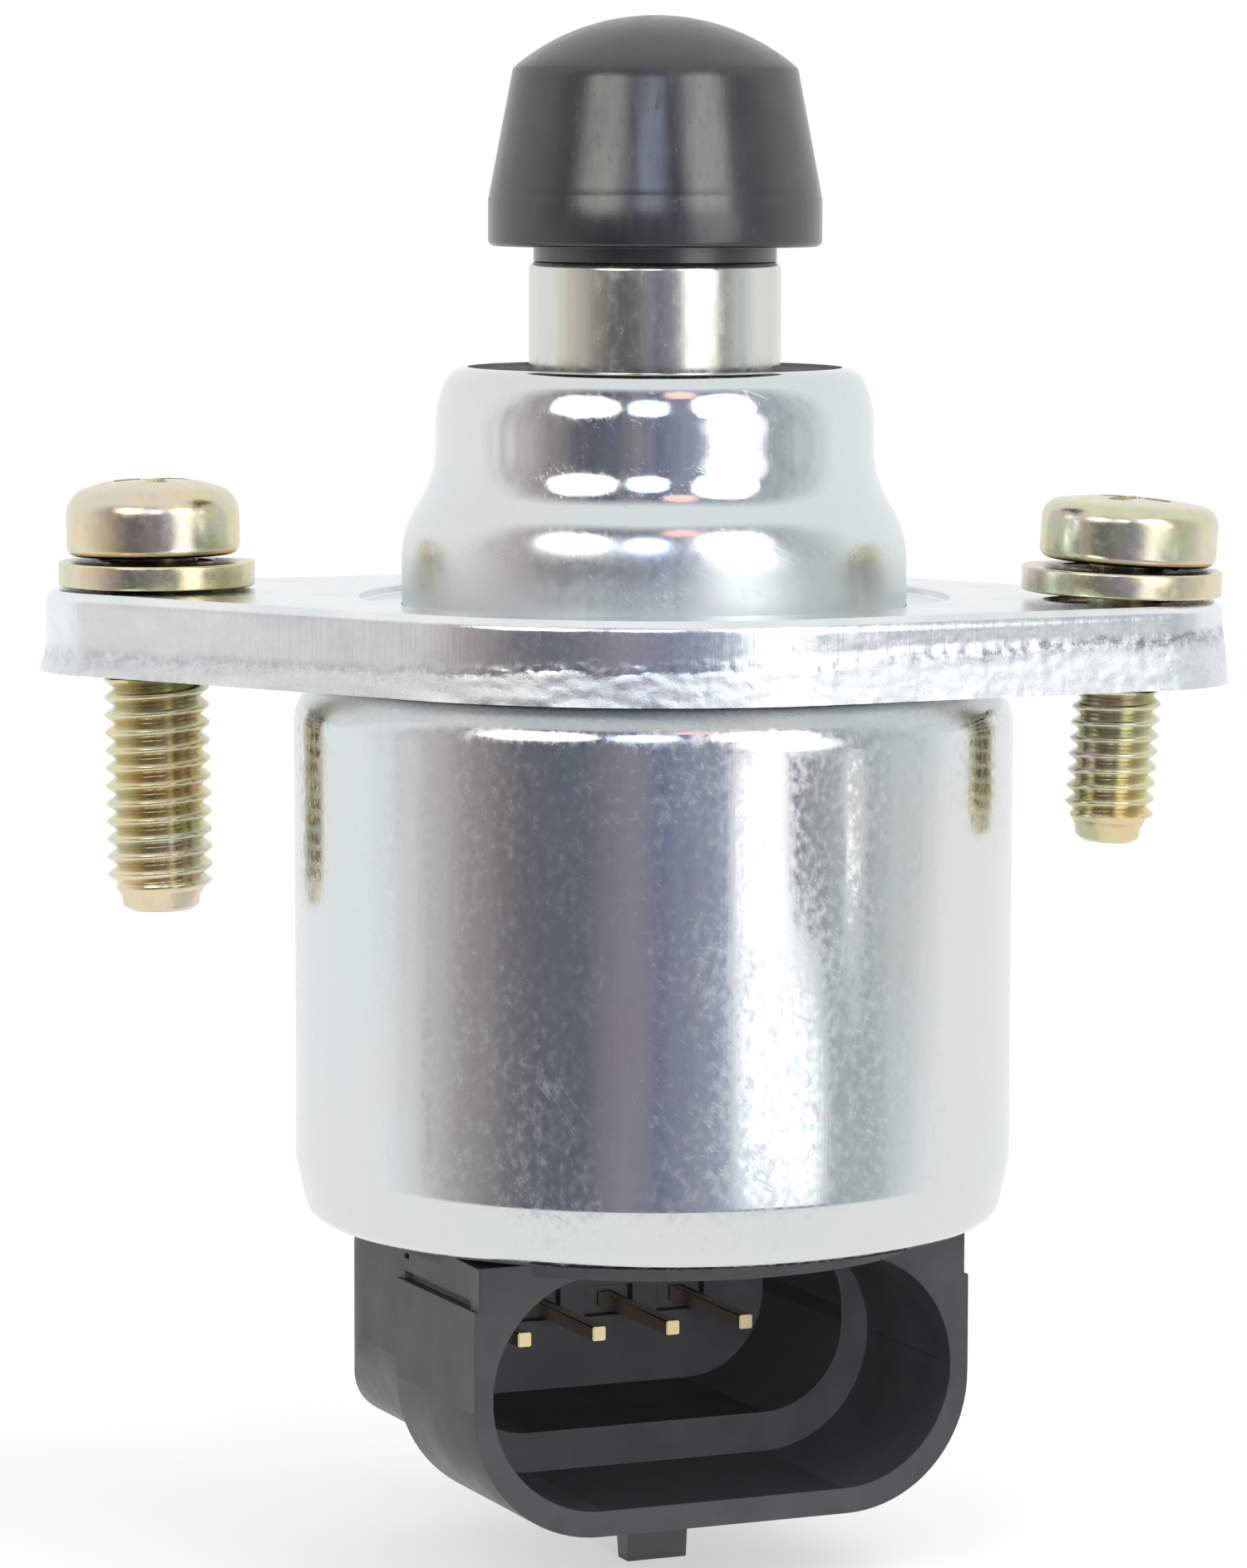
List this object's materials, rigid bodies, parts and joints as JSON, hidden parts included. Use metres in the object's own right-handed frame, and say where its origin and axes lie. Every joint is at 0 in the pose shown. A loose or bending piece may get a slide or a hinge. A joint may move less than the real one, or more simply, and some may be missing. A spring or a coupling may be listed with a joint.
{
  "type": "idle air control valve",
  "caption": "Stepper-driven idle air valve with a domed pintle, flanged steel nose and can, mounting screws and a moulded electrical socket.",
  "frame": {"origin": "on the pintle axis, at the flange face on the nose side", "axes": "+Z along the pintle axis out of the nose, -Y out of the mouth of the electrical socket"},
  "size_m": [0.0472, 0.0335, 0.069],
  "materials": {
    "cap_plastic": "satin black acetal, turned",
    "sleeve_steel": "bright steel, faint straw tint, vertical grain",
    "zinc_steel": "bright bluish zinc on drawn steel, fine scratches",
    "flange_zinc": "bluish zinc, rough sheared edge",
    "yellow_zinc": "yellow passivated zinc with a rainbow tint",
    "housing_plastic": "matt black moulded, fine grain",
    "white_plastic": "natural moulded nylon",
    "seal_rubber": "dull black rubber",
    "bearing_steel": "ground bearing steel",
    "magnet_ferrite": "dark sintered ferrite",
    "soft_iron": "stamped sheet, nickel plated",
    "copper_wire": "enamelled copper winding",
    "pin_gold": "gold flashed terminal"
  },
  "bodies": {
    "root": {"nose_cup": "zinc_steel", "mounting_flange": "flange_zinc", "screw_left": "yellow_zinc", "screw_right": "yellow_zinc", "lock_washer_left": "yellow_zinc", "lock_washer_right": "yellow_zinc", "motor_can": "zinc_steel", "dust_seal": "seal_rubber", "guide_bush": "white_plastic", "preload_spring": "bearing_steel", "front_bearing_holder": "housing_plastic", "front_bearing_outer_race": "bearing_steel", "front_bearing_balls": "bearing_steel", "rear_bearing_outer_race": "bearing_steel", "rear_bearing_balls": "bearing_steel", "stator_cup_front": "soft_iron", "stator_plate_front": "soft_iron", "bobbin_front": "white_plastic", "coil_front": "copper_wire", "stator_plate_rear": "soft_iron", "stator_cup_rear": "soft_iron", "bobbin_rear": "white_plastic", "coil_rear": "copper_wire", "wave_washer": "bearing_steel", "rear_seal": "seal_rubber", "connector_housing": "housing_plastic", "terminal_1": "pin_gold", "terminal_2": "pin_gold", "terminal_3": "pin_gold", "terminal_4": "pin_gold"},
    "rotor": {"rotor_magnet": "magnet_ferrite", "rotor_nut": "white_plastic", "front_bearing_inner_race": "bearing_steel", "rear_bearing_inner_race": "bearing_steel"},
    "pintle": {"pintle_cap": "cap_plastic", "plunger_sleeve": "sleeve_steel", "lead_screw": "bearing_steel"}
  },
  "joints": [
    {"name": "rotor_spin", "type": "hinge", "parent": "root", "child": "rotor", "pos_m": [0, 0, 0], "axis": [0, 0, 1], "range_deg": [-1620, 1440]},
    {"name": "pintle_slide", "type": "slide", "parent": "root", "child": "pintle", "axis": [0, 0, 1], "range_m": [-0.0042, 0.0046], "deforming": ["preload_spring"]}
  ],
  "couplings": [
    {"joint": "pintle_slide", "follows": "rotor_spin", "m_per_rad": -0.00015915}
  ]
}
